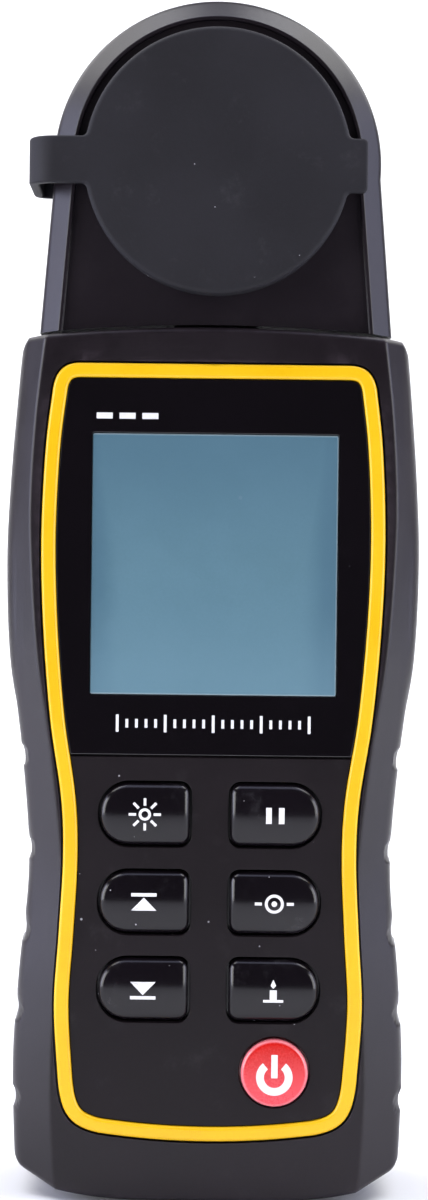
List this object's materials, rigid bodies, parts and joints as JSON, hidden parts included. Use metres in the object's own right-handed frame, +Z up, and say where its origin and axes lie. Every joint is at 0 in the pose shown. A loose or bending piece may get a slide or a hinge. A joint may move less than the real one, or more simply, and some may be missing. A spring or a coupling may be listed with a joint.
{
  "type": "digital lux meter",
  "caption": "Upright handheld light meter: waisted two-shell case with display and keypad, swivelling sensor head, rubber sensor cap on a strap.",
  "frame": {"origin": "centre of the bounding box, on the plane that the case's bottom end stands on", "axes": "+Z up along the case to the sensor head, +Y out of the back, +X to the right of someone facing the display"},
  "size_m": [0.063, 0.032, 0.18],
  "materials": {
    "case": "fine satin moulded texture, charcoal with a violet cast",
    "band": "smooth semi-gloss yellow",
    "window": "polished, dark printed back with a clear display area",
    "fascia": "fine matte",
    "lcd": "blank grey-blue liquid crystal cell",
    "guide": "frosted clear",
    "silicone": "soft matte",
    "board": "solder mask",
    "steel": "plain zinc",
    "chip": "moulded",
    "opal": "opal white",
    "filter": "green-grey filter",
    "key": "glossy domed",
    "power": "semi-gloss red",
    "cell": "plain printed sleeve, no lettering",
    "nickel": "nickel plated",
    "rubber": "soft dusty matte",
    "lead": "grey PVC sleeve"
  },
  "bodies": {
    "housing": {"front_shell": "case", "rear_shell": "case", "trim_band": "band", "display_window": "window", "keypad_fascia": "fascia", "lcd_panel": "lcd", "lcd_frame": "fascia", "backlight_guide": "guide", "zebra_connector": "silicone", "main_board": "board", "dome_sheet": "steel", "keypad_membrane": "silicone", "processor_chip": "chip", "buzzer": "chip", "sensor_socket": "opal", "battery_tray": "fascia", "cell_1": "cell", "cell_2": "cell", "cell_3": "cell", "cell_spring_1": "nickel", "cell_spring_2": "nickel", "cell_spring_3": "nickel", "contact_strip_top": "nickel", "contact_strip_bottom": "nickel", "case_screw_1": "steel", "case_screw_2": "steel", "case_screw_3": "steel", "case_screw_4": "steel", "board_screw_1": "steel", "board_screw_2": "steel", "board_screw_3": "steel", "board_screw_4": "steel", "friction_washer": "steel"},
    "head": {"head_front_shell": "case", "head_rear_shell": "case", "swivel_tube": "fascia", "swivel_clip": "steel", "sensor_bezel": "fascia", "diffuser": "opal", "colour_filter": "filter", "photodiode": "chip", "light_seal": "rubber", "sensor_board": "board", "sensor_lead": "lead", "head_screw_1": "steel", "head_screw_2": "steel", "head_screw_3": "steel", "cap_strap": "rubber"},
    "cap": {"sensor_cap": "rubber"},
    "battery_door": {"battery_door": "case"},
    "key_light": {"key_light": "key"},
    "key_hold": {"key_hold": "key"},
    "key_max": {"key_max": "key"},
    "key_lux": {"key_lux": "key"},
    "key_min": {"key_min": "key"},
    "key_fc": {"key_fc": "key"},
    "power_key": {"power_key": "power"}
  },
  "joints": [
    {"name": "head_swivel", "type": "hinge", "parent": "housing", "child": "head", "pos_m": [0, 0, 0.1309], "axis": [0, 0, 1], "range_deg": [-90, 180]},
    {"name": "cap_swing", "type": "hinge", "parent": "head", "child": "cap", "pos_m": [-0.027, -0.013, 0.155], "axis": [0, 0, -1], "range_deg": [0, 150]},
    {"name": "battery_door_tilt", "type": "hinge", "parent": "housing", "child": "battery_door", "pos_m": [0, 0.016, 0.0186], "axis": [-1, 0, 0], "range_deg": [0, 80]},
    {"name": "key_light_press", "type": "slide", "parent": "housing", "child": "key_light", "axis": [0, 1, 0], "range_m": [0, 0.0008], "stiffness_N_per_m": 800, "springref_m": -0.0004},
    {"name": "key_hold_press", "type": "slide", "parent": "housing", "child": "key_hold", "axis": [0, 1, 0], "range_m": [0, 0.0008], "stiffness_N_per_m": 800, "springref_m": -0.0004},
    {"name": "key_max_press", "type": "slide", "parent": "housing", "child": "key_max", "axis": [0, 1, 0], "range_m": [0, 0.0008], "stiffness_N_per_m": 800, "springref_m": -0.0004},
    {"name": "key_lux_press", "type": "slide", "parent": "housing", "child": "key_lux", "axis": [0, 1, 0], "range_m": [0, 0.0008], "stiffness_N_per_m": 800, "springref_m": -0.0004},
    {"name": "key_min_press", "type": "slide", "parent": "housing", "child": "key_min", "axis": [0, 1, 0], "range_m": [0, 0.0008], "stiffness_N_per_m": 800, "springref_m": -0.0004},
    {"name": "key_fc_press", "type": "slide", "parent": "housing", "child": "key_fc", "axis": [0, 1, 0], "range_m": [0, 0.0008], "stiffness_N_per_m": 800, "springref_m": -0.0004},
    {"name": "power_key_press", "type": "slide", "parent": "housing", "child": "power_key", "axis": [0, 1, 0], "range_m": [0, 0.0008], "stiffness_N_per_m": 800, "springref_m": -0.0004}
  ]
}
